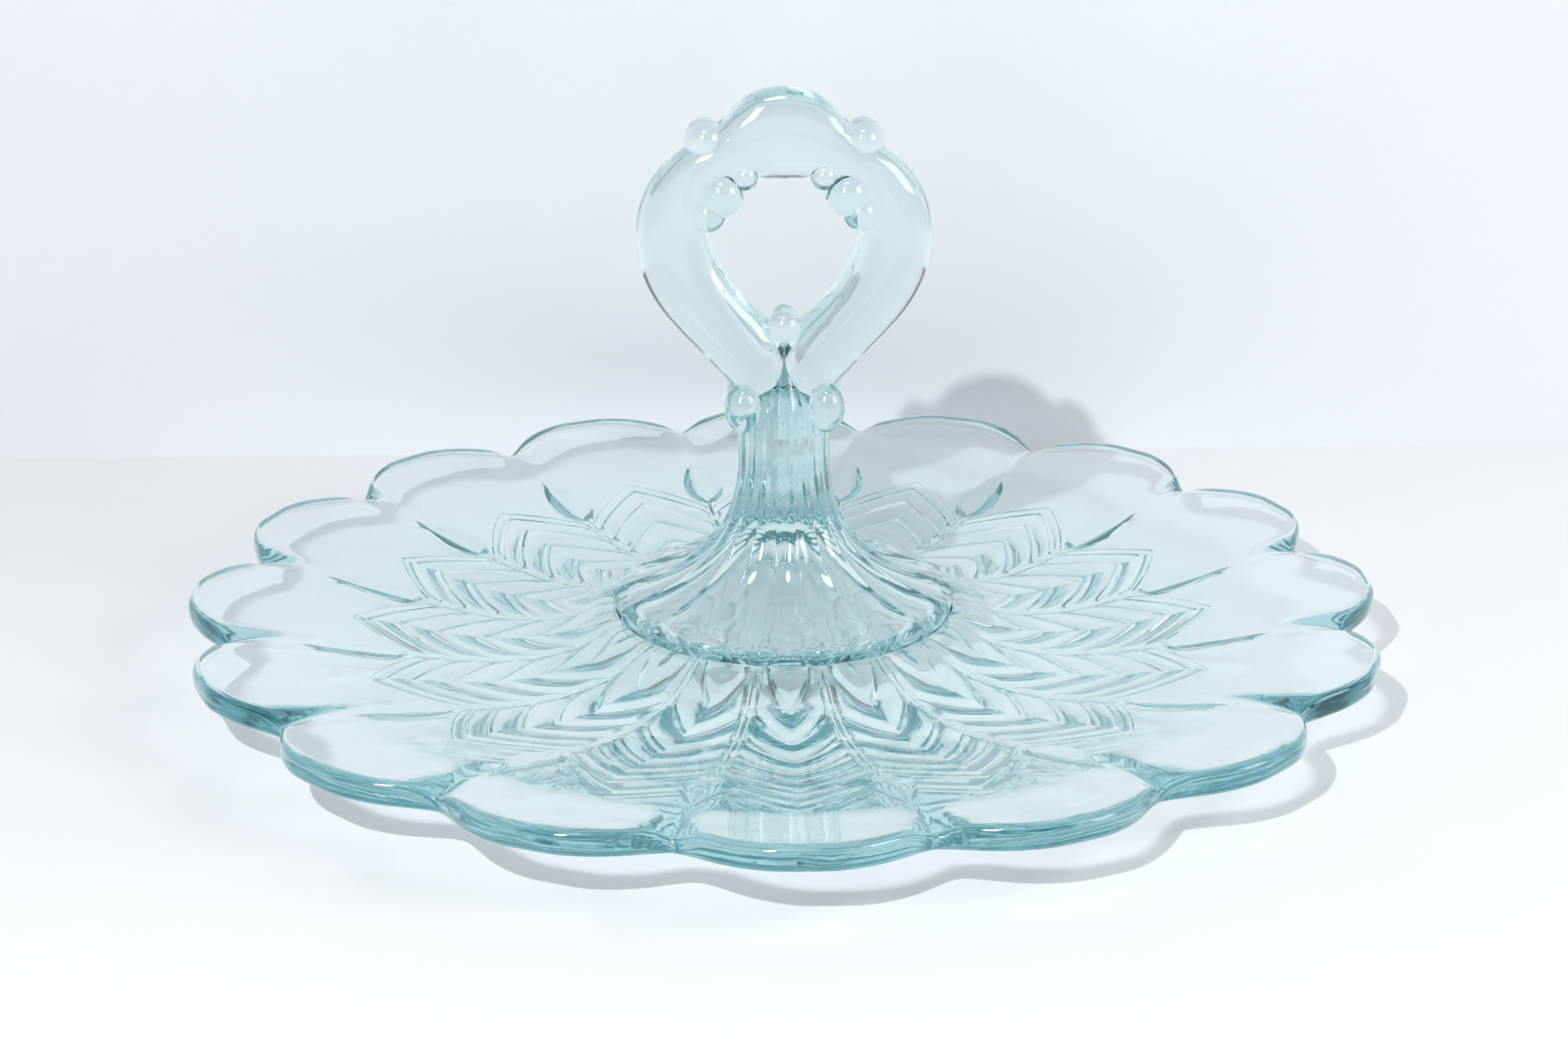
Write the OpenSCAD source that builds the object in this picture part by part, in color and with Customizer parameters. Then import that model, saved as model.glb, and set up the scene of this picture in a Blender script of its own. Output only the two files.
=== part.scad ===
// Centre-handled serving tray in pressed glass: a scalloped plate, a hollow bell on its seat,
// and an upright finger ring with beads. Millimetres, +Z up, standing on z = 0.
// The ring lies in the XZ plane and one scallop points straight to the front, at -Y.

/* [Plate] */
// Radius of the plate at the tips of its scallops
tip_r = 135; // [118:1:150]
// Depth of the notches between scallops, measured in from the tips
notch_depth = 9; // [5:0.5:11]
// Scallops round the rim
scallop_count = 16; // [14:1:18]
// Height of the rim's upper edge at the scallop tips
rim_h = 17.1; // [15:0.1:19.7]
// Thickness of the glass at the rim
rim_t = 5; // [4:0.1:6]
// Radius of the lowest ring of the well
well_r = 63; // [58:1:68]
// Thickness of the glass at the bottom of the well
well_t = 5.2; // [4.5:0.1:6.5]
// Width of the flat ring that the plate stands on
rest_w = 12; // [8:1:16]
// Height of the flat seat for the handle
seat_h = 12; // [10.5:0.1:14]
// Thickness of the glass under the seat
seat_t = 5; // [4:0.1:6]
// Ledge left round the foot on the seat
seat_ledge = 1.3; // [0.6:0.1:2]

/* [Bond] */
// Thickness of the cement between the foot and the seat
bond_t = 0.3; // [0.2:0.05:0.5]
// Distance that the cement stays back from both edges of the foot
bond_inset = 0.6; // [0.3:0.1:1]

/* [Bell] */
// Radius of the bell's foot
foot_r = 39.2; // [36:0.2:42]
// Height of the upright band round the foot
band_h = 3.2; // [2.4:0.1:4]
// Thickness of the bell's wall where it stands on the seat
foot_wall = 5; // [4:0.1:6]
// Height from the foot to where the stem runs straight
bell_h = 34; // [30:0.5:37]
// Height of the hollow under the bell
hollow_h = 18.5; // [15:0.5:20]
// Radius of the stem
stem_r = 10.2; // [9.6:0.1:11]
// Height from the foot to the joint with the ring
stem_h = 42.2; // [40:0.2:46]

/* [Ring] */
// Outer radius of the finger ring
ring_r = 32.4; // [30:0.2:35]
// Width of the ring's bar, seen from the front
bar_w = 16.2; // [14:0.2:18]
// Thickness of the ring's bar, front to back
bar_d = 12.5; // [11:0.1:14]
// Height of the ring's centre above the joint
ring_rise = 44.3; // [43:0.1:46]
// Height of the stem's tapered end above the joint
spear_h = 16; // [14:0.5:18]
// Radius at the tip of the tapered end
spear_r = 4; // [3:0.1:5]
// Thickness of the flat bridge across the top of the hole, front to back
bridge_d = 9; // [7:0.2:11]
// How far the bridge reaches down into the hole
bridge_drop = 4; // [2:0.1:5]
// Thickness of the two arms that run from the ring down to the stem
arm_d = 10; // [8:0.1:11]

/* [Beads] */
// Radius of the two beads on the ring's shoulders
shoulder_bead_r = 5; // [4.4:0.1:5.3]
// Angle of the shoulder beads above level
shoulder_bead_turn = 50.6; // [46:0.2:55]
// How far the shoulder beads' centres lie inside the ring's outer radius
shoulder_bead_inset = 5.2; // [4.5:0.1:6]
// How far the shoulder beads stand forward and back of the ring's middle plane
shoulder_bead_out = 1.8; // [1:0.1:2.5]
// Radius of the scoop that sets each shoulder bead off from the bar
shoulder_scoop_r = 5.5; // [5.2:0.1:6]
// How far the scoop's centre lies inside the ring's outer radius
shoulder_scoop_inset = 4.4; // [3.8:0.1:5]
// Radii of the beads up each side of the hole
hole_bead_radii = [3.7, 4.9, 2.6];
// Angles of those beads above level
hole_bead_turns = [14.8, 30.5, 54.8];
// How far those beads stand forward and back of the ring's middle plane
hole_bead_out = 2.9; // [2:0.1:3.5]
// Radius of the bead at the bottom of the hole
drop_bead_r = 3.7; // [3:0.1:4.2]
// Radius of the two beads beside the stem's tapered end
stem_bead_r = 4.2; // [3.7:0.1:4.4]
// How far the stem beads stand forward and back of the ring's middle plane
stem_bead_out = 4.2; // [3.4:0.1:4.9]
// Distance of the stem beads' centres from the middle
stem_bead_at = 9.5; // [8.5:0.1:10]
// Height of the stem beads' centres above the joint
stem_bead_h = 5.6; // [4.8:0.1:6.5]

/* [Hidden] */
$fn = 96;
// Extra length of every cut, so that it passes clear through
overrun = 1;
glass_colour = [0.78, 0.90, 0.93];
cement_colour = [0.90, 0.94, 0.92];

// Rise of the plate from the well to the rim, as shares of its run and of its height
rim_rise_shares = [[0, 0], [0.12, 0.07], [0.28, 0.245], [0.385, 0.39],
                   [0.515, 0.55], [0.64, 0.68], [0.75, 0.77], [0.875, 0.88], [1, 1]];
// Rise of the plate from the well to the seat
seat_rise_shares = [[0, 0], [0.28, 0.07], [0.56, 0.265], [0.8, 0.55], [1, 1]];
// Flare of the bell: shares of the step from stem to foot, and of the height above the band
flare_shares = [[1, 0], [0.697, 0.117], [0.493, 0.198], [0.338, 0.292], [0.21, 0.406],
                [0.107, 0.565], [0.048, 0.718], [0.014, 0.87], [0, 1]];
// Hollow under the bell: shares of its mouth radius and of its height
hollow_shares = [[0, 1], [0.16, 0.94], [0.263, 0.83], [0.35, 0.7], [0.453, 0.53],
                 [0.6, 0.33], [0.79, 0.14], [1, 0]];
// Pointed foot of the finger hole: half width, height of its shoulders and depth, in hole radii
hole_point_shares = [0.63, 0.78, 1.32];
// Outer corners of the arms below the ring's centre, at the ring and at the stem, in ring radii
arm_shares = [[0.68, 0.71], [0.355, 1.06]];
// Squareness of the bar's rounded section, and points round it
bar_power_share = 0.65;
bar_points = 24;

notch_r = tip_r - notch_depth;
scallop_half = 180 / scallop_count;
// Each scallop is an arc through two notches and the tip between them
scallop_sag = tip_r - notch_r * cos(scallop_half);
scallop_r = (pow(notch_r * sin(scallop_half), 2) + pow(scallop_sag, 2)) / (2 * scallop_sag);
scallop_at = tip_r - scallop_r;
seat_r = foot_r + seat_ledge;
hollow_r = foot_r - foot_wall;
foot_z = seat_h + bond_t;
joint_z = foot_z + stem_h;
ring_z = joint_z + ring_rise;
hole_r = ring_r - bar_w;

// Points of a curve given in shares, from a start point through a run and a rise
function curve(shares, from, run, rise) =
    [for (s = shares) [from[0] + s[0] * run, from[1] + s[1] * rise]];

function reversed(list) = [for (i = [len(list) - 1 : -1 : 0]) list[i]];

// Half section of the plate, with the underside first
function plate_section() = concat(
    [[0, seat_h - seat_t]],
    reversed(curve(seat_rise_shares, [well_r - rest_w / 2, 0],
                   hollow_r - well_r + rest_w / 2, seat_h - seat_t)),
    curve(rim_rise_shares, [well_r + rest_w / 2, 0],
          tip_r - well_r - rest_w / 2, rim_h - rim_t),
    reversed(curve(rim_rise_shares, [well_r, well_t], tip_r - well_r, rim_h - well_t)),
    [for (i = [1 : len(seat_rise_shares) - 1])
        curve([seat_rise_shares[i]], [well_r, well_t], seat_r - well_r, seat_h - well_t)[0]],
    [[0, seat_h]]);

module scalloped_outline() {
    circle(r = scallop_at);
    for (i = [0 : scallop_count - 1])
        rotate(i * 2 * scallop_half - 90)
            translate([scallop_at, 0])
                circle(r = scallop_r);
}

module tray_plate() {
    color(glass_colour)
        intersection() {
            rotate_extrude()
                polygon(plate_section());
            translate([0, 0, -overrun])
                linear_extrude(height = rim_h + 2 * overrun)
                    scalloped_outline();
        }
}

module foot_bond() {
    color(cement_colour)
        translate([0, 0, seat_h])
            difference() {
                cylinder(h = bond_t, r = foot_r - bond_inset);
                translate([0, 0, -overrun])
                    cylinder(h = bond_t + 2 * overrun, r = hollow_r + bond_inset);
            }
}

module bell_pedestal() {
    section = concat(
        [[hollow_r, foot_z], [foot_r, foot_z]],
        curve(flare_shares, [stem_r, foot_z + band_h], foot_r - stem_r, bell_h - band_h),
        [[stem_r, joint_z], [0, joint_z]],
        [for (i = [0 : len(hollow_shares) - 2])
            curve([hollow_shares[i]], [0, foot_z], hollow_r, hollow_h)[0]]);
    color(glass_colour)
        rotate_extrude()
            polygon(section);
}

// Rounded section of the ring's bar, flatter on its faces than an ellipse
function rounded(value) = sign(value) * pow(abs(value), bar_power_share);
function bar_section() =
    [for (i = [0 : bar_points - 1])
        let (turn = (i + 1 / 2) * 360 / bar_points)
            [ring_r - bar_w / 2 + rounded(cos(turn)) * bar_w / 2, rounded(sin(turn)) * bar_d / 2]];

// Places a copy at a distance from the ring's centre, turned up from level
module at_turn(turn, distance) {
    translate([distance * cos(turn), 0, distance * sin(turn)])
        children();
}

module both_sides() {
    children();
    rotate([0, 0, 180])
        children();
}

// Bead that shows on the front and on the back of the ring
module bead(radius, out) {
    for (side = [-1, 1])
        translate([0, side * out, 0])
            sphere(r = radius);
}

module finger_ring() {
    difference() {
        rotate([90, 0, 0])
            rotate_extrude()
                polygon(bar_section());
        // Pointed foot of the finger hole
        rotate([90, 0, 0])
            linear_extrude(height = bar_d + 2 * overrun, center = true)
                polygon([[-hole_r * hole_point_shares[0], -hole_r * hole_point_shares[1]],
                         [0, -hole_r * hole_point_shares[2]],
                         [hole_r * hole_point_shares[0], -hole_r * hole_point_shares[1]]]);
        both_sides()
            at_turn(shoulder_bead_turn, ring_r - shoulder_scoop_inset)
                rotate([90, 0, 0])
                    cylinder(h = bar_d + 2 * overrun, r = shoulder_scoop_r, center = true);
    }
    // Flat bridge across the top of the hole
    bridge_half = sqrt(pow(hole_r, 2) - pow(hole_r - bridge_drop, 2));
    translate([-bridge_half, -bridge_d / 2, hole_r - bridge_drop])
        cube([2 * bridge_half, bridge_d, bridge_drop + bar_w / 2]);
    rotate([90, 0, 0])
        linear_extrude(height = arm_d, center = true)
            polygon([for (corner = [[-1, 0], [-1, 1], [1, 1], [1, 0]])
                let (share = arm_shares[corner[1]])
                    [corner[0] * share[0] * ring_r, -share[1] * ring_r]]);
}

module ring_beads() {
    both_sides() {
        at_turn(shoulder_bead_turn, ring_r - shoulder_bead_inset)
            bead(shoulder_bead_r, shoulder_bead_out);
        for (i = [0 : len(hole_bead_radii) - 1])
            at_turn(hole_bead_turns[i], hole_r)
                bead(hole_bead_radii[i], hole_bead_out);
    }
    translate([0, 0, -hole_r * hole_point_shares[2]])
        sphere(r = drop_bead_r);
}

module ring_handle() {
    color(glass_colour) {
        translate([0, 0, ring_z]) {
            finger_ring();
            ring_beads();
        }
        translate([0, 0, joint_z]) {
            cylinder(h = spear_h, r1 = stem_r, r2 = spear_r);
            both_sides()
                translate([stem_bead_at, 0, stem_bead_h])
                    bead(stem_bead_r, stem_bead_out);
        }
    }
}

tray_plate();
foot_bond();
bell_pedestal();
ring_handle();
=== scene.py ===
# Looks of the pressed-glass serving tray: scalloped plate, cemented bell and finger ring.
import math

import bpy
import numpy as np
from mathutils import Matrix, Vector


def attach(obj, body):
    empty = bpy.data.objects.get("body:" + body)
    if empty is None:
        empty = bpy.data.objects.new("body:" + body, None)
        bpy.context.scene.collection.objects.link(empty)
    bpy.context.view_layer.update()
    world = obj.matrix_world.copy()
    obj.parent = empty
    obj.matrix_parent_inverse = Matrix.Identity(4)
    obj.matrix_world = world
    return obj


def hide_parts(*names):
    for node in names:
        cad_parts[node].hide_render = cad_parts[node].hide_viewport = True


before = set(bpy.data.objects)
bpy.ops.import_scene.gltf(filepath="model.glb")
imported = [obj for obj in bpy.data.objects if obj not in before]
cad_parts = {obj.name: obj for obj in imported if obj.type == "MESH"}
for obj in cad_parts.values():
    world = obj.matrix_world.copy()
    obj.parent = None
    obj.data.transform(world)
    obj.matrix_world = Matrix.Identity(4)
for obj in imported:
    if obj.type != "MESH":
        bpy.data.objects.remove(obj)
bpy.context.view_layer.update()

# Shapes are worked out in millimetres and set in metres.
MM = 0.001
weld_gap = 0.002
sliver = 0.001

# Plate
scallop_count = 16
tip_r = 134.99
notch_r = 126.0
notch_round = 8.0
edge_r = 1.7
edge_power = 0.7
edge_rows = 13
plate_smooth = 28
morph_r = 104.0
flange_r = 118.0
rest_r = 63.0
seat_h = 12.0
top_line = [[0, 12], [36, 12], [40.5, 12], [45, 10], [50.4, 7], [56.7, 5.7], [63, 5.2], [71.6, 6.03],
            [83.2, 8.12], [90.7, 9.84], [100.1, 11.75], [109.1, 13.29], [117, 14.36], [126, 15.67],
            [135, 17.1]]
under_line = [[0, 7], [30, 7], [34.2, 7], [38.8, 5], [44.2, 1.9], [50.6, 0.5], [57, 0], [69, 0],
              [76.9, 0.85], [87.5, 2.96], [94.4, 4.72], [103, 6.66], [111.2, 8.23], [118.5, 9.32],
              [126.8, 10.65], [135, 12.1]]

# Rows of the plate's mesh, from the middle out below and from the edge back in above
centre_rings = [0, 10, 20, 27, 31]
relief_end_rows = 20
flange_rows = 9
well_rows = 19
well_rings = [60, 57, 54, 51.5, 49, 47, 45, 43, 41.5, 40.5, 39.5]
seat_rings = [30, 20, 10, 0]
plate_columns = 16
near_columns = 5
near_rim_w = 0.8
least_r = 6.0
fit_rounds = 12

# Relief under the plate
chevron_r = [34.0, 46.0, 59.8, 71.5, 82.0, 90.6, 96.6, 99.8]
chevron_rows = [6, 12, 12, 11, 10, 8, 6]
chevron_drop = 15.0
chevron_bend = 0.1
fall_start_r = 8.0
fall_start_run = 42.0
fall_end_r = 122.0
fall_end_run = 21.5
scoop_share = 0.21
scoop_most = 1.7
scoop_lean = 0.78
stem_w = 2.2
stem_flat = 0.7
stem_ease = 1.2
stem_groove = 0.4
groove_half_w = 0.45
groove_start_r = 36.0
drop_in_r = 88.0
drop_out_r = 109.0
drop_swell = 13.0
drop_height = 1.7
drop_slope = 0.45
pinch_depth = 2.6
pinch_reach = 6.0
pinch_half_w = 3.5
shade_w = 2.3
shade_ease = 1.5

# Bell
foot_z = 12.3
joint_z = 54.5
flute_count = 18
flute_columns = 16
flute_share = 0.046
flute_smooth = 30
ridge_share = 0.12
ridge_crowding = 1.8
flute_depths = [[12.3, 0.35], [15.5, 0.9], [18.5, 1.6], [28, 1.5], [38, 0.6], [54.5, 0.5]]
bell_line = [[39.0, 12.3], [39.2, 12.5], [39.2, 15.2], [38.9, 15.5], [30.4, 19.1], [24.5, 21.6],
             [20.0, 24.5], [16.3, 28.0], [13.3, 32.9], [11.6, 37.6], [10.6, 42.3], [10.2, 46.3],
             [10.2, 54.48]]
bell_rows = 60
hollow_line = [[0, 30.8], [2.8, 30.6], [5.5, 29.7], [9.0, 27.7], [12, 25.3], [15.5, 22.1], [20.5, 18.4],
               [27, 14.9], [34.0, 12.5], [34.3, 12.3]]
hollow_rows = 26
cap_r = 5.0
bell_shade = 0.6
bond_in_r = 34.8
bond_out_r = 38.6
bond_middle_r = 36.7
bond_gap = 0.02
bond_points = 9
bond_smooth = 40

# Finger ring, in the upright plane about its own middle
ring_z = 98.8
bar_half_d = 6.25
bar_power = 2.2
crease_w = 7.5
crease_share = 0.22
crease_run = 16.0
crease_start = 0.2
ring_columns = 240
ring_rows = 34
ring_smooth = 35
ring_shade = 0.9
outer_line = [[-90, 43], [-80, 39.5], [-70, 35.6], [-60, 33.2], [-50, 31.95], [-42, 31.7], [-30, 32.0],
              [-15, 32.4], [0, 32.4], [15, 31.9], [30, 30.5], [42, 28.9], [50, 27.6], [61.5, 28.5],
              [70, 30.4], [80, 31.9], [90, 32.3]]
hole_line = [[-90, 21.5], [-78, 19.4], [-65.5, 17.6], [-51, 16.2], [-31.4, 15.35], [-13, 15.6],
             [2.4, 16.5], [15, 17], [30, 17], [45, 16.6], [55, 15.5], [65, 14], [75, 12.7], [90, 12.1]]

# Beads of the ring: middle and half sizes
bead_segments = 48
bead_rings = 32
bead_weld = 0.003
shoulder_bead = ((17.1, 0.0, 119.6), (4.7, 6.2, 4.7))
hole_beads = [((13.7, -3.7, 108.0), (4.9, 4.9, 4.9)), ((8.6, -3.9, 112.0), (2.9, 2.9, 2.9)),
              ((16.6, -4.0, 103.8), (3.8, 3.8, 3.8))]
drop_bead = ((0.0, -2.4, 78.2), (3.7, 3.7, 3.7))
stem_bead = ((9.3, -5.0, 60.2), (4.1, 4.6, 5.6))

# The stem's tapered end, between the ring's arms
spear_line = [[10.2, 54.52], [9.9, 56], [9.3, 58], [8.3, 60.5], [6.8, 63], [5.2, 65.5], [3.6, 68],
              [2.0, 70.3], [1.0, 71.6]]
spear_rows = 30
spear_point = 0.2

# Glass
glass_ior = 1.5
glass_tint = (0.275, 0.71, 0.745, 1)
glass_density = 18.0
glass_tones = [(0.965, 0.99, 0.993, 1), (0.98, 0.995, 0.997, 1)]
cement_tones = [(0.90, 0.96, 0.97, 1), (0.97, 0.99, 1, 1)]
joined_tall = 0.001

# Stage and camera, from the photograph's fitted view
wall_y = 147.0
stage_reach = 1500.0
floor_z = -0.3
floor_colour = (0.905, 0.92, 0.94, 1)
floor_fade_r = 550.0
wall_colour = (0.92, 0.945, 0.98, 1)
wall_fade_r = 2200.0
fade_spread = 1.8
paper_shade = 0.985
camera_place = (-17.4, -570.6, 237.4)
camera_aim = (0.0, 0.0, 14.6)
camera_lift = 1.55
camera_lens = 61.3
camera_sensor = 36
lamp_place = (-260.0, -588.0, 575.0)
lamp_watts = 13.9
lamp_r = 8.0
glint_watts = 4.0
glint_size = (150.0, 330.0)
top_glint_place = (-60.0, -220.0, 790.0)
top_glint_watts = 0.8
top_glint_size = (230.0, 160.0)
softbox_place = (620.0, -260.0, 420.0)
softbox_watts = 2.0
softbox_size = (360.0, 360.0)
lamp_aim = (60.0, 60.0, 40.0)
sky_bright = (0.97, 0.985, 1.0, 1)
sky_dull = (0.10, 0.14, 0.15, 1)
sky_strength = 0.34
sky_lean = 0.1
sky_behind = 0.75
backdrop_colour = (0.90, 0.93, 0.96, 1)
backdrop_strength = 0.9
light_bounces = 48
clear_bounces = 32
soft = {"interpolation_type": "SMOOTHSTEP"}
colours = {"data_type": "RGBA"}


def flowing(points, at):
    """A smooth curve through listed points that doesn't overshoot, read at the given places."""
    x, y = np.transpose(np.array(points, dtype=float))
    run = np.diff(x)
    steep = np.diff(y) / run
    before, after = steep[:-1], steep[1:]
    same_way = before * after > 0
    both = np.where(same_way, before + after, 1.0)
    inner = np.where(same_way, 2 * before * after / both, 0.0)
    slope = np.concatenate([steep[:1], inner, steep[-1:]])
    at = np.clip(at, x[0], x[-1])
    i = np.clip(np.searchsorted(x, at, side="right") - 1, 0, len(run) - 1)
    s = (at - x[i]) / run[i]
    bend = run[i] * (slope[i] * s * (1 - s) ** 2 + slope[i + 1] * s * s * (s - 1))
    return y[i] * (1 + 2 * s) * (1 - s) ** 2 + y[i + 1] * s * s * (3 - 2 * s) + bend


def eased(value):
    """From 0 to 1 without a corner at either end."""
    value = np.clip(value, 0, 1)
    return value * value * (3 - 2 * value)


def along(points, count):
    """Evenly spaced places on a smooth outline through listed points."""
    points = np.array(points, dtype=float)
    length = np.concatenate([[0], np.cumsum(np.hypot(*np.diff(points, axis=0).T))])
    at = np.linspace(0, length[-1], count)
    return np.stack([flowing(np.column_stack([length, points[:, k]]), at) for k in (0, 1)], axis=1)


def flat_grid(name, columns, rows):
    """A flat grid to be given its shape, with each vertex's column and row."""
    bpy.ops.object.select_all(action="DESELECT")
    bpy.ops.mesh.primitive_grid_add(x_subdivisions=columns, y_subdivisions=rows, size=2)
    made = bpy.context.object
    made.name = name
    flat = np.empty(3 * len(made.data.vertices))
    made.data.vertices.foreach_get("co", flat)
    flat = (flat.reshape(-1, 3) + 1) / 2
    return made, np.rint(flat[:, 0] * columns).astype(int), np.rint(flat[:, 1] * rows).astype(int)


def set_places(made, x, y, z):
    made.data.vertices.foreach_set("co", np.stack([x, y, z], axis=1).ravel() * MM)
    made.data.update()


def apply_modifier(made, kind, **settings):
    bpy.context.view_layer.objects.active = made
    step = made.modifiers.new(kind.lower(), kind)
    for key, value in settings.items():
        setattr(step, key, value)
    bpy.ops.object.modifier_apply(modifier=step.name)


def spun(made, count):
    """Copies a sector round the upright axis until it closes on itself."""
    bpy.ops.object.mode_set(mode="EDIT")
    bpy.ops.mesh.select_all(action="SELECT")
    turn = math.tau * (count - 1) / count
    bpy.ops.mesh.spin(steps=count - 1, dupli=True, angle=turn, center=(0, 0, 0), axis=(0, 0, 1))
    bpy.ops.object.mode_set(mode="OBJECT")


def closed(made, smooth_angle):
    """Joins the seams, turns every face outwards and rounds the shading below an angle."""
    bpy.context.view_layer.objects.active = made
    made.select_set(True)
    bpy.ops.object.mode_set(mode="EDIT")
    bpy.ops.mesh.select_all(action="SELECT")
    bpy.ops.mesh.remove_doubles(threshold=weld_gap * MM)
    bpy.ops.mesh.dissolve_degenerate(threshold=sliver * MM)
    bpy.ops.mesh.select_all(action="SELECT")
    bpy.ops.mesh.normals_make_consistent(inside=False)
    bpy.ops.object.mode_set(mode="OBJECT")
    bpy.ops.object.shade_smooth_by_angle(angle=math.radians(smooth_angle))


def face_middles(made):
    middle = np.empty(3 * len(made.data.polygons))
    made.data.polygons.foreach_get("center", middle)
    return middle.reshape(-1, 3).T / MM


def mark(made, name, domain, values):
    """Keeps a number on each vertex or face for the materials to read."""
    layer = made.data.attributes.new(name, "FLOAT", domain)
    layer.data.foreach_set("value", np.asarray(values, dtype=np.float32))


def joined_faces(made, heights):
    """Finds the faces of the stem's level cuts at the given heights."""
    x, y, z = face_middles(made)
    level = np.min([abs(z - height) for height in heights + [np.inf]], axis=0) < joined_tall
    return level & (np.hypot(x, y) < spear_line[0][0])


def scallop_edge(angle):
    """Radius of the scalloped outline, its notches eased, at an angle from a scallop's middle."""
    half = math.pi / scallop_count
    cusp_r = notch_r - notch_round / 2
    reach = (tip_r ** 2 - cusp_r ** 2) / (2 * (tip_r - cusp_r * math.cos(half)))
    arc_r = tip_r - reach
    own, next_one = [reach * np.cos(a) + np.sqrt(np.maximum(arc_r ** 2 - (reach * np.sin(a)) ** 2, 0))
                     for a in (angle, 2 * half - angle)]
    eased_r = (own + next_one + np.sqrt((own - next_one) ** 2 + notch_round ** 2)) / 2
    return np.minimum(eased_r, tip_r)


def drop_half_width(r):
    """Half width of the raised tear at the end of each stem."""
    u = np.clip((r - drop_in_r) / (drop_out_r - drop_in_r), 0, 1)
    return drop_swell * np.sqrt(u) * (1 - u)


def near_width(r):
    """Half width of the strip along each stem that the finer columns follow."""
    plain = np.interp(r, [drop_in_r, tip_r], [stem_w, near_rim_w])
    return np.maximum(plain, drop_half_width(r))


def chevron_fall(level):
    """How far a row falls back from the middle of a petal to its stems."""
    rising = eased((level - fall_start_r) / fall_start_run)
    falling = eased((fall_end_r - level) / fall_end_run)
    return chevron_drop * rising * falling


def scoop_depth(level):
    """Depth of the scoops between one chevron's crest and the next."""
    crests = np.array(chevron_r)
    i = np.clip(np.searchsorted(crests, level, side="right") - 1, 0, len(crests) - 2)
    pitch = crests[i + 1] - crests[i]
    a = np.clip((level - crests[i]) / pitch, 0, 1)
    after_deepest = (a - scoop_lean) / (1 - scoop_lean)
    from_deepest = np.where(a < scoop_lean, 1 - a / scoop_lean, after_deepest)
    return (1 - from_deepest ** 2) * np.minimum(scoop_share * pitch, scoop_most)


def plate_rows():
    """Radius and tilt of each row: the underside from the middle out, the edge, the top back in."""
    rim_r = tip_r - edge_r
    under = list(centre_rings)
    for low, high, count in zip(chevron_r, chevron_r[1:], chevron_rows):
        under += list(np.linspace(low, high, count, endpoint=False))
    under += list(np.linspace(chevron_r[-1], flange_r, relief_end_rows))
    under += list(np.linspace(flange_r, rim_r, flange_rows))[1:]
    edge = list(np.radians(np.linspace(-90, 90, edge_rows))[1:-1])
    top = list(np.linspace(rim_r, flange_r, flange_rows))
    top += list(np.linspace(flange_r, rest_r, well_rows))[1:]
    top += well_rings + [bond_out_r, bond_middle_r, bond_in_r] + seat_rings
    stations = np.array(under + [rim_r] * len(edge) + top)
    tilt = np.array([-math.pi / 2] * len(under) + edge + [math.pi / 2] * len(top))
    return stations, tilt, len(under), len(under) + len(edge)


def tray_plate():
    half = math.pi / scallop_count
    stations, tilt, first_edge, first_top = plate_rows()
    made, column, row = flat_grid("tray_plate.glass", plate_columns, len(stations) - 1)
    below = row < first_edge
    level = stations[row]
    fall = np.where(below, chevron_fall(level), 0.0)
    near_share = np.minimum(column / near_columns, 1)
    far_share = np.clip((column - near_columns) / (plate_columns - near_columns), 0, 1)
    r = level
    for _ in range(fit_rounds):
        off = near_share * near_width(r)
        strip = np.minimum(off / np.maximum(r, least_r), half * column / plate_columns)
        from_stem = strip + far_share * (half - strip)
        t = 1 - from_stem / half
        r = level - fall * ((1 - chevron_bend) * t + chevron_bend * t ** 3)
    angle = half - from_stem
    outer = scallop_edge(angle)
    share = np.clip((r - morph_r) / (tip_r - edge_r - morph_r), 0, 1)
    r = np.where(r > morph_r, morph_r + share * (outer - edge_r - morph_r), r)
    across = r * np.sin(from_stem)
    width = np.maximum(drop_half_width(r), 1e-6)
    tear = np.minimum(drop_height, drop_slope * width) * np.clip(1 - (across / width) ** 2, 0, 1)
    on_stem = r < drop_in_r
    stem_fade = np.where(on_stem, eased((across - stem_flat) / stem_ease), 1.0)
    cut = stem_groove * np.clip(1 - across / groove_half_w, 0, 1)
    groove = np.where(on_stem & (r > groove_start_r), cut, 0)
    relief = scoop_depth(level) * stem_fade - tear + groove
    pinch = pinch_depth * np.exp(-(outer - r) / pinch_reach) * np.exp(-(across / pinch_half_w) ** 2)
    low = flowing(under_line, r)
    high = flowing(top_line, r) - pinch
    in_edge = (row >= first_edge) & (row < first_top)
    rise = np.sign(np.sin(tilt[row])) * np.abs(np.sin(tilt[row])) ** edge_power
    edge_z = (low + high) / 2 + (high - low) / 2 * rise
    z = np.where(below, low + relief, np.where(in_edge, edge_z, high))
    r = r + np.where(in_edge, edge_r * np.maximum(np.cos(tilt[row]), 0) ** edge_power, 0)
    set_places(made, r * np.sin(angle), -r * np.cos(angle), z)
    near_edge = eased((r - outer + edge_r + shade_w) / shade_ease)
    mark(made, "edge", "POINT", np.where(in_edge, 1, near_edge))
    apply_modifier(made, "MIRROR", use_axis=(True, False, False), merge_threshold=weld_gap * MM)
    spun(made, scallop_count)
    closed(made, plate_smooth)
    return made


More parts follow.
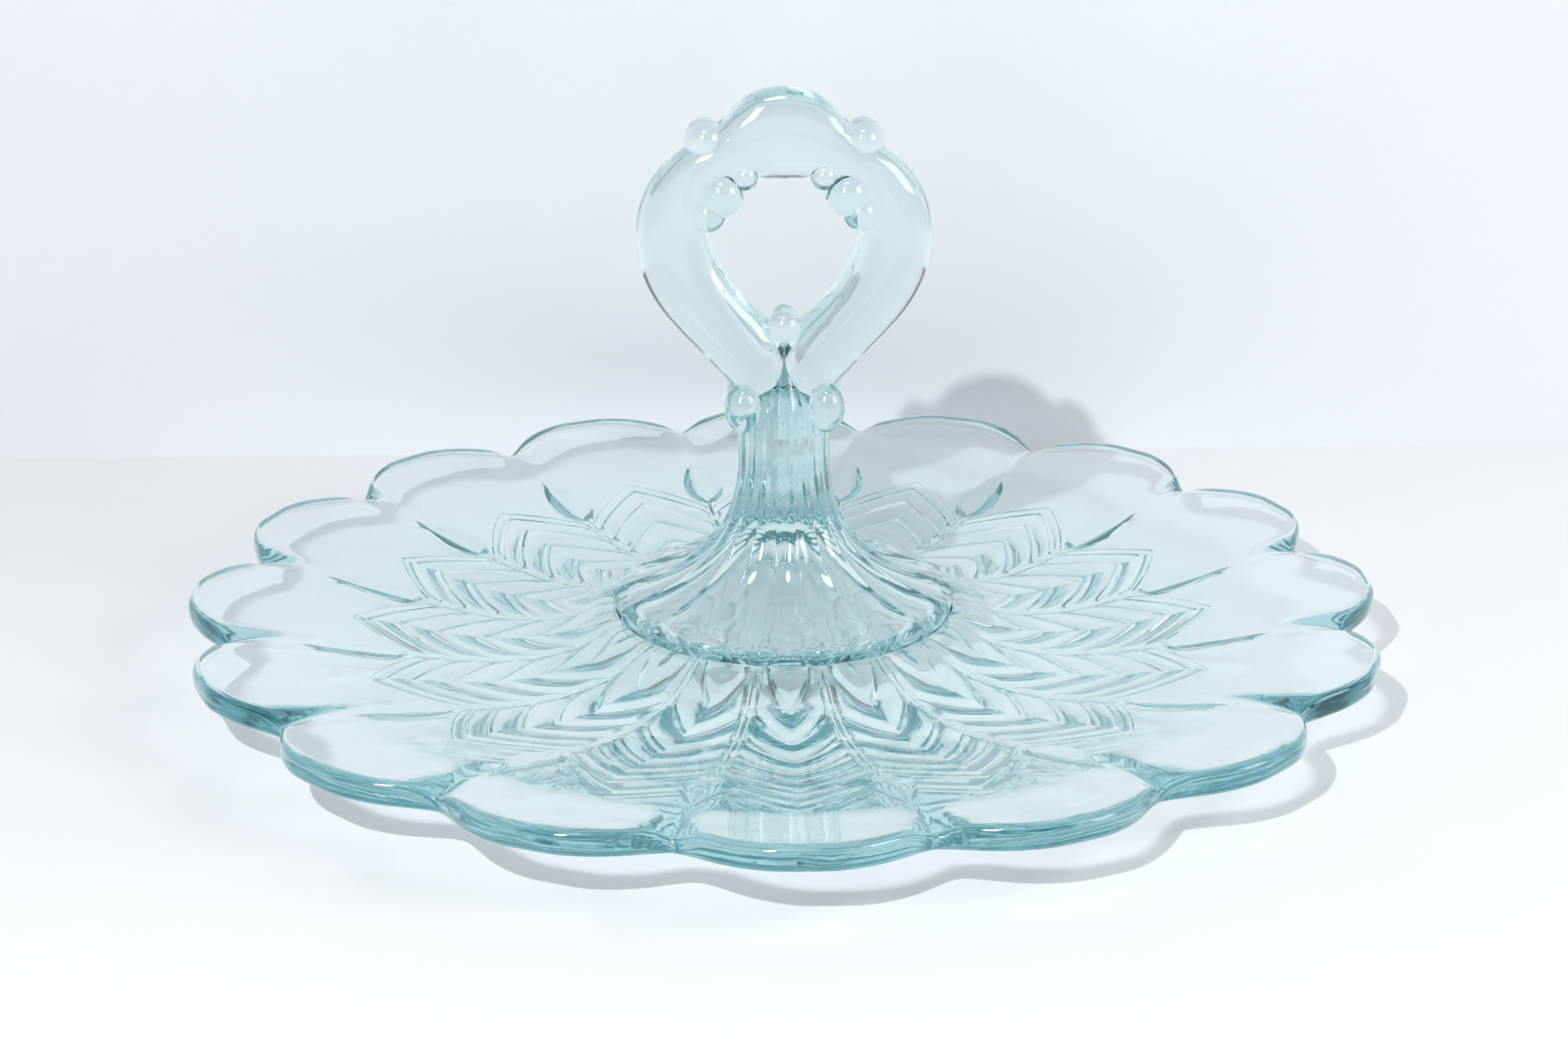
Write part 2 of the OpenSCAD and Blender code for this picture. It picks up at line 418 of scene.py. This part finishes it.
def fluted(made, column, row, line, scooped):
    """Turns an outline about the upright axis with one flute scooped across the sector."""
    half = math.pi / flute_count
    v = 2 * column / flute_columns - 1
    from_ridge = (1 - np.abs(v)) ** ridge_crowding
    rounded = from_ridge ** 2 / ridge_share
    scoop = (from_ridge * (2 - from_ridge) - ridge_share) / (1 - ridge_share)
    depth = np.where(from_ridge < ridge_share, rounded, scoop)
    r = line[row, 0] * (1 - flute_share * scooped[row] * depth)
    angle = half * np.sign(v) * (1 - from_ridge) - math.pi / 2
    set_places(made, r * np.cos(angle), r * np.sin(angle), line[row, 1])


def bell_pedestal():
    """The bell and lower stem: hollow, sole, fluted outside and the flat cut on top."""
    hollow = along(hollow_line, hollow_rows)
    sole = np.array([[bond_in_r, foot_z], [bond_middle_r, foot_z], [bond_out_r, foot_z]])
    outside = along(bell_line, bell_rows)
    cap = np.array([[cap_r, joint_z - bond_gap], [0.0, joint_z - bond_gap]])
    line = np.concatenate([hollow, sole, outside, cap])
    on_outside = np.repeat([0.0, 1.0, 0.0], [len(hollow) + len(sole), len(outside), len(cap)])
    deep = np.interp(line[:, 1], *np.transpose(flute_depths))
    made, column, row = flat_grid("bell_pedestal.glass", flute_columns, len(line) - 1)
    fluted(made, column, row, line, on_outside * deep)
    spun(made, flute_count)
    closed(made, flute_smooth)
    mark(made, "edge", "POINT", np.full(len(made.data.vertices), bell_shade))
    return made


def finger_ring():
    """The plain bar of the ring, with the crease where its two arms run together above the stem."""
    made, column, row = flat_grid("ring_handle.glass", ring_columns, ring_rows)
    degrees = 90 - 180 * column / ring_columns
    angle = np.radians(degrees)
    outer = flowing(outer_line, degrees)
    hole = flowing(hole_line, degrees)
    v = -np.cos(math.pi * row / ring_rows)
    r = (hole + outer + v * (outer - hole)) / 2
    x, z = r * np.cos(angle), r * np.sin(angle)
    height = bar_half_d * (1 - np.abs(v) ** bar_power) ** (1 / bar_power)
    from_crease = np.clip(x / crease_w, 0, 1)
    arm = crease_share + (1 - crease_share) * np.sqrt(from_crease * (2 - from_crease))
    creased = 1 + (arm - 1) * eased(-z / crease_run - crease_start)
    height = height * np.where(z < 0, creased, 1.0)
    x = np.where((column == 0) | (column == ring_columns), 0, x)
    set_places(made, x, -height, z + ring_z)
    apply_modifier(made, "MIRROR", use_axis=(True, True, False), merge_threshold=weld_gap * MM)
    closed(made, ring_smooth)
    return made


def stem_spear():
    side = along(spear_line, spear_rows)
    foot = [[0, side[0, 1]], [cap_r, side[0, 1]]]
    line = np.concatenate([foot, side, [[0, side[-1, 1] + spear_point]]])
    scooped = np.concatenate([[0, 0], np.full(len(side), flute_depths[-1][1]), [0]])
    made, column, row = flat_grid("spear", flute_columns, len(line) - 1)
    fluted(made, column, row, line, scooped)
    spun(made, flute_count)
    closed(made, flute_smooth)
    return made


def bead(place, half):
    bpy.ops.object.select_all(action="DESELECT")
    at = [v * MM for v in place]
    bpy.ops.mesh.primitive_uv_sphere_add(
        segments=bead_segments, ring_count=bead_rings, radius=1, location=at)
    made = bpy.context.object
    made.scale = [v * MM for v in half]
    bpy.ops.object.transform_apply(location=True, rotation=False, scale=True)
    return made


def unite(made, others):
    for other in others:
        apply_modifier(made, "BOOLEAN", operation="UNION", solver="EXACT", object=other)
        bpy.data.objects.remove(other)
    return made


def keep_quarter(made):
    """Cuts away all but the right front quarter, so that one quarter gives the whole."""
    bpy.context.view_layer.objects.active = made
    bpy.ops.object.mode_set(mode="EDIT")
    for facing in [(1, 0, 0), (0, -1, 0)]:
        bpy.ops.mesh.select_all(action="SELECT")
        bpy.ops.mesh.bisect(
            plane_co=(0, 0, 0), plane_no=facing, clear_inner=True, threshold=sliver * MM)
    bpy.ops.object.mode_set(mode="OBJECT")


def ring_handle():
    """The bar, the stem's spear and one of each bead, mirrored to both sides and both faces."""
    cluster = unite(bead(*hole_beads[0]), [bead(*other) for other in hole_beads[1:]])
    lone = [bead(*other) for other in (shoulder_bead, drop_bead, stem_bead)]
    made = unite(finger_ring(), [stem_spear(), cluster] + lone)
    keep_quarter(made)
    apply_modifier(made, "MIRROR", use_axis=(True, True, False), merge_threshold=bead_weld * MM)
    closed(made, ring_smooth)
    mark(made, "edge", "POINT", np.full(len(made.data.vertices), ring_shade))
    return made


def foot_bond():
    """The thin ring of cement, let out to a soft bead of squeeze-out on both sides."""
    low, high = seat_h + bond_gap, foot_z - bond_gap
    half = (high - low) / 2
    middle = (low + high) / 2
    bulge = [[bond_out_r + half * math.cos(a), middle + half * math.sin(a)]
             for a in np.radians(np.linspace(-90, 90, bond_points))]
    hollow = [[bond_in_r - half * math.cos(a), middle + half * math.sin(a)]
              for a in np.radians(np.linspace(90, -90, bond_points))]
    line = np.array(bulge + hollow + bulge[:1])
    made, column, row = flat_grid("foot_bond.cement", flute_columns, len(line) - 1)
    fluted(made, column, row, line, np.zeros(len(line)))
    spun(made, flute_count)
    closed(made, bond_smooth)
    return made


class Wire:
    """A shader value in Python arithmetic: each step adds one Math node."""

    def __init__(self, tree, socket):
        self.tree, self.socket = tree, socket

    def step(self, operation, first, second):
        made = self.tree.nodes.new("ShaderNodeMath")
        made.operation = operation
        for socket, value in zip(made.inputs, (first, second)):
            if isinstance(value, Wire):
                self.tree.links.new(value.socket, socket)
            else:
                socket.default_value = value
        return Wire(self.tree, made.outputs[0])

    def __add__(self, other):
        return self.step("ADD", self, other)

    def __sub__(self, other):
        return self.step("SUBTRACT", self, other)

    def __rsub__(self, other):
        return self.step("SUBTRACT", other, self)

    def __mul__(self, other):
        return self.step("MULTIPLY", self, other)

    def __truediv__(self, other):
        return self.step("DIVIDE", self, other)

    def __pow__(self, other):
        return self.step("POWER", self, other)

    __radd__ = __add__
    __rmul__ = __mul__


class Finish:
    """A material, or the world, built node by node."""

    def __init__(self, owner):
        self.owner = owner
        owner.use_nodes = True
        self.tree = owner.node_tree
        self.tree.nodes.clear()

    def node(self, kind, settings=None, inputs=None):
        made = self.tree.nodes.new("ShaderNode" + kind)
        for key, value in (settings or {}).items():
            setattr(made, key, value)
        for key, value in (inputs or {}).items():
            if isinstance(value, Wire):
                self.tree.links.new(value.socket, made.inputs[key])
            else:
                made.inputs[key].default_value = value
        return {socket.name: Wire(self.tree, socket) for socket in made.outputs if socket.enabled}


def new_finish(name):
    return Finish(bpy.data.materials.new(name))


def ice_blue_glass():
    """Clear pressed glass, tinted by its depth, with the faint ripple that the mould leaves."""
    look = new_finish("pressed_glass")
    place = look.node("TexCoord")["Object"]
    chill = look.node("TexNoise", inputs={"Vector": place, "Scale": 130.0, "Detail": 3.0})["Fac"]
    wave = look.node("TexNoise", inputs={"Vector": place, "Scale": 45.0, "Detail": 1.0})["Fac"]
    ripple = wave + chill * 0.25
    bump = look.node("Bump", inputs={"Strength": 0.2, "Distance": 0.0006, "Height": ripple})["Normal"]
    tone = look.node("Mix", colours, {0: chill, 6: glass_tones[0], 7: glass_tones[1]})["Result"]
    outside = 1 - look.node("NewGeometry")["Backfacing"]
    glass = look.node("BsdfPrincipled", inputs={
        "Base Color": tone, "Roughness": chill * 0.004, "IOR": glass_ior,
        "Transmission Weight": 1.0, "Coat Weight": 0.6 * outside, "Coat Roughness": 0.06,
        "Coat IOR": glass_ior, "Normal": bump})["BSDF"]
    clear = look.node("BsdfTransparent", inputs={"Color": (1, 1, 1, 1)})["BSDF"]
    slant = look.node("LayerWeight", inputs={"Blend": 0.5})["Facing"]
    edge = look.node("Attribute", {"attribute_name": "edge"})["Fac"]
    joined = look.node("Attribute", {"attribute_name": "joined"})["Fac"]
    blocked = 1 - look.node("LightPath")["Is Shadow Ray"] * (1 - slant ** 3.0) * (1 - edge)
    passed = 1 - blocked * (1 - joined)
    surface = look.node("MixShader", inputs={0: passed, 1: glass, 2: clear})["Shader"]
    tint = {"Color": glass_tint, "Density": glass_density}
    depth = look.node("VolumeAbsorption", inputs=tint)["Volume"]
    look.node("OutputMaterial", inputs={"Surface": surface, "Volume": depth})
    return look.owner


def clear_cement():
    """Hardened clear cement, a little cloudy in patches."""
    look = new_finish("seat_cement")
    place = look.node("TexCoord")["Object"]
    cloud = look.node("TexNoise", inputs={"Vector": place, "Scale": 400.0, "Detail": 3.0})["Fac"]
    tone = look.node("Mix", colours, {0: cloud, 6: cement_tones[0], 7: cement_tones[1]})["Result"]
    cement = look.node("BsdfPrincipled", inputs={
        "Base Color": tone, "Roughness": 0.05 + cloud * 0.2, "IOR": glass_ior,
        "Transmission Weight": 1.0})["BSDF"]
    clear = look.node("BsdfTransparent", inputs={"Color": (1, 1, 1, 1)})["BSDF"]
    joined = look.node("Attribute", {"attribute_name": "joined"})["Fac"]
    blocked = 1 - look.node("LightPath")["Is Shadow Ray"]
    passed = 1 - blocked * (1 - joined)
    surface = look.node("MixShader", inputs={0: passed, 1: cement, 2: clear})["Shader"]
    look.node("OutputMaterial", inputs={"Surface": surface})
    return look.owner


def dress(made, node, finish, joined_at):
    """Gives a piece its finish, and a clear pass to the faces that are joined to the next piece."""
    made.data.materials.clear()
    made.data.materials.append(finish)
    mark(made, "joined", "FACE", joined_faces(made, joined_at))
    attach(made, "root")
    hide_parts(node)


def stage_plane(name, corners, look):
    bpy.ops.object.select_all(action="DESELECT")
    bpy.ops.mesh.primitive_grid_add(x_subdivisions=1, y_subdivisions=1, size=2)
    made = bpy.context.object
    made.name = name
    made.data.vertices.foreach_set("co", np.array(corners, dtype=float).ravel() * MM)
    made.data.update()
    made.data.materials.append(look)


def paper(name, colour, fade_r):
    """Matt paper that ends softly, is clear from behind and lets the lamps light what is past it."""
    look = new_finish(name)
    place = look.node("TexCoord")["Object"]
    grain = look.node("TexNoise", inputs={"Vector": place, "Scale": 6.0, "Detail": 2.0})["Fac"]
    shade = tuple(paper_shade * c for c in colour[:3]) + (1,)
    tone = look.node("Mix", colours, {0: grain, 6: shade, 7: colour})["Result"]
    face = look.node("BsdfPrincipled", inputs={"Base Color": tone, "Roughness": 0.9})["BSDF"]
    clear = look.node("BsdfTransparent")["BSDF"]
    behind = look.node("NewGeometry")["Backfacing"]
    shaded = look.node("LightPath")["Is Shadow Ray"]
    far = look.node("VectorMath", {"operation": "LENGTH"}, {0: place})["Value"]
    fade = {"Value": far, "From Min": fade_r * MM, "From Max": fade_spread * fade_r * MM}
    ends = look.node("MapRange", soft, fade)["Result"]
    gone = 1 - (1 - behind) * (1 - shaded) * (1 - ends)
    surface = look.node("MixShader", inputs={0: gone, 1: face, 2: clear})["Shader"]
    look.node("OutputMaterial", inputs={"Surface": surface})
    return look.owner


def lamp(name, kind, place, watts):
    bpy.ops.object.light_add(type=kind, location=[v * MM for v in place])
    made = bpy.context.object
    made.name = name
    made.data.energy = watts
    made.visible_transmission = False
    return made


def area_lamp(name, shape, place, watts, size):
    made = lamp(name, "AREA", place, watts)
    made.data.shape = shape
    made.data.size, made.data.size_y = [v * MM for v in size]
    return made


def aim_lamp(made, place):
    made.rotation_euler = (Vector(place) - Vector(lamp_aim)).to_track_quat("Z", "Y").to_euler()


def studio_world():
    """A sky that is dull low down, with a pale backdrop for the eye and for what glass shows of it."""
    world = bpy.data.worlds.new("studio")
    bpy.context.scene.world = world
    look = Finish(world)
    way = look.node("TexCoord")["Generated"]
    split = look.node("SeparateXYZ", inputs={"Vector": way})
    height = split["Z"]
    low = look.node("MapRange", soft, {"Value": height, "From Min": 0.85, "From Max": 0.15})["Result"]
    front = look.node("MapRange", soft, {"Value": split["Y"], "From Min": 0.3, "From Max": -0.8})["Result"]
    dim = low * (sky_behind + (1 - sky_behind) * front)
    tone = look.node("Mix", colours, {0: dim, 6: sky_bright, 7: sky_dull})["Result"]
    strength = sky_strength + sky_lean * split["X"]
    sky = look.node("Background", inputs={"Color": tone, "Strength": strength})["Background"]
    path = look.node("LightPath")
    near = look.node("MapRange", soft, {"Value": height, "From Min": 0.45, "From Max": 0.25})["Result"]
    bends = path["Ray Depth"]
    direct = look.node("MapRange", {}, {"Value": bends, "From Min": 3.0, "From Max": 2.0})["Result"]
    in_glass = path["Is Glossy Ray"] + path["Is Transmission Ray"]
    shown = path["Is Camera Ray"] + in_glass * near * direct
    pale = {"Color": backdrop_colour, "Strength": backdrop_strength}
    backdrop = look.node("Background", inputs=pale)["Background"]
    surface = look.node("MixShader", inputs={0: shown, 1: sky, 2: backdrop})["Shader"]
    world.cycles.sampling_method = "NONE"
    look.node("OutputWorld", inputs={"Surface": surface})


def stage():
    far = stage_reach
    floor = [[-far, -far, floor_z], [far, -far, floor_z], [-far, far, floor_z], [far, far, floor_z]]
    wall = [[-far, wall_y, floor_z], [far, wall_y, floor_z], [-far, wall_y, far], [far, wall_y, far]]
    stage_plane("floor", floor, paper("floor_paper", floor_colour, floor_fade_r))
    stage_plane("wall", wall, paper("wall_paper", wall_colour, wall_fade_r))
    studio_world()
    key = lamp("key_lamp", "POINT", lamp_place, lamp_watts)
    key.data.shadow_soft_size = lamp_r * MM
    glint = area_lamp("key_glint", "RECTANGLE", lamp_place, glint_watts, glint_size)
    glint.visible_diffuse = False
    aim_lamp(glint, lamp_place)
    top = area_lamp("top_glint", "ELLIPSE", top_glint_place, top_glint_watts, top_glint_size)
    top.visible_diffuse = False
    side = area_lamp("side_softbox", "SQUARE", softbox_place, softbox_watts, softbox_size)
    aim_lamp(side, softbox_place)


def camera():
    place, aim = Vector(camera_place) * MM, Vector(camera_aim) * MM
    bpy.ops.object.camera_add(location=place)
    made = bpy.context.object
    made.data.lens = camera_lens
    made.data.sensor_width = camera_sensor
    look_at = (aim - place).to_track_quat("-Z", "Y").to_matrix()
    lift = Matrix.Rotation(math.radians(camera_lift), 3, "X")
    made.rotation_euler = (look_at @ lift).to_euler()
    bpy.context.scene.camera = made


glass = ice_blue_glass()
dress(tray_plate(), "tray_plate", glass, [])
dress(bell_pedestal(), "bell_pedestal", glass, [joint_z - bond_gap])
dress(ring_handle(), "ring_handle", glass, [joint_z + bond_gap])
dress(foot_bond(), "foot_bond", clear_cement(), [])
stage()
camera()

scene = bpy.context.scene
scene.view_settings.view_transform = "Standard"
scene.cycles.max_bounces = light_bounces
scene.cycles.glossy_bounces = light_bounces
scene.cycles.transmission_bounces = light_bounces
scene.cycles.transparent_max_bounces = clear_bounces
scene.cycles.blur_glossy = 0.0
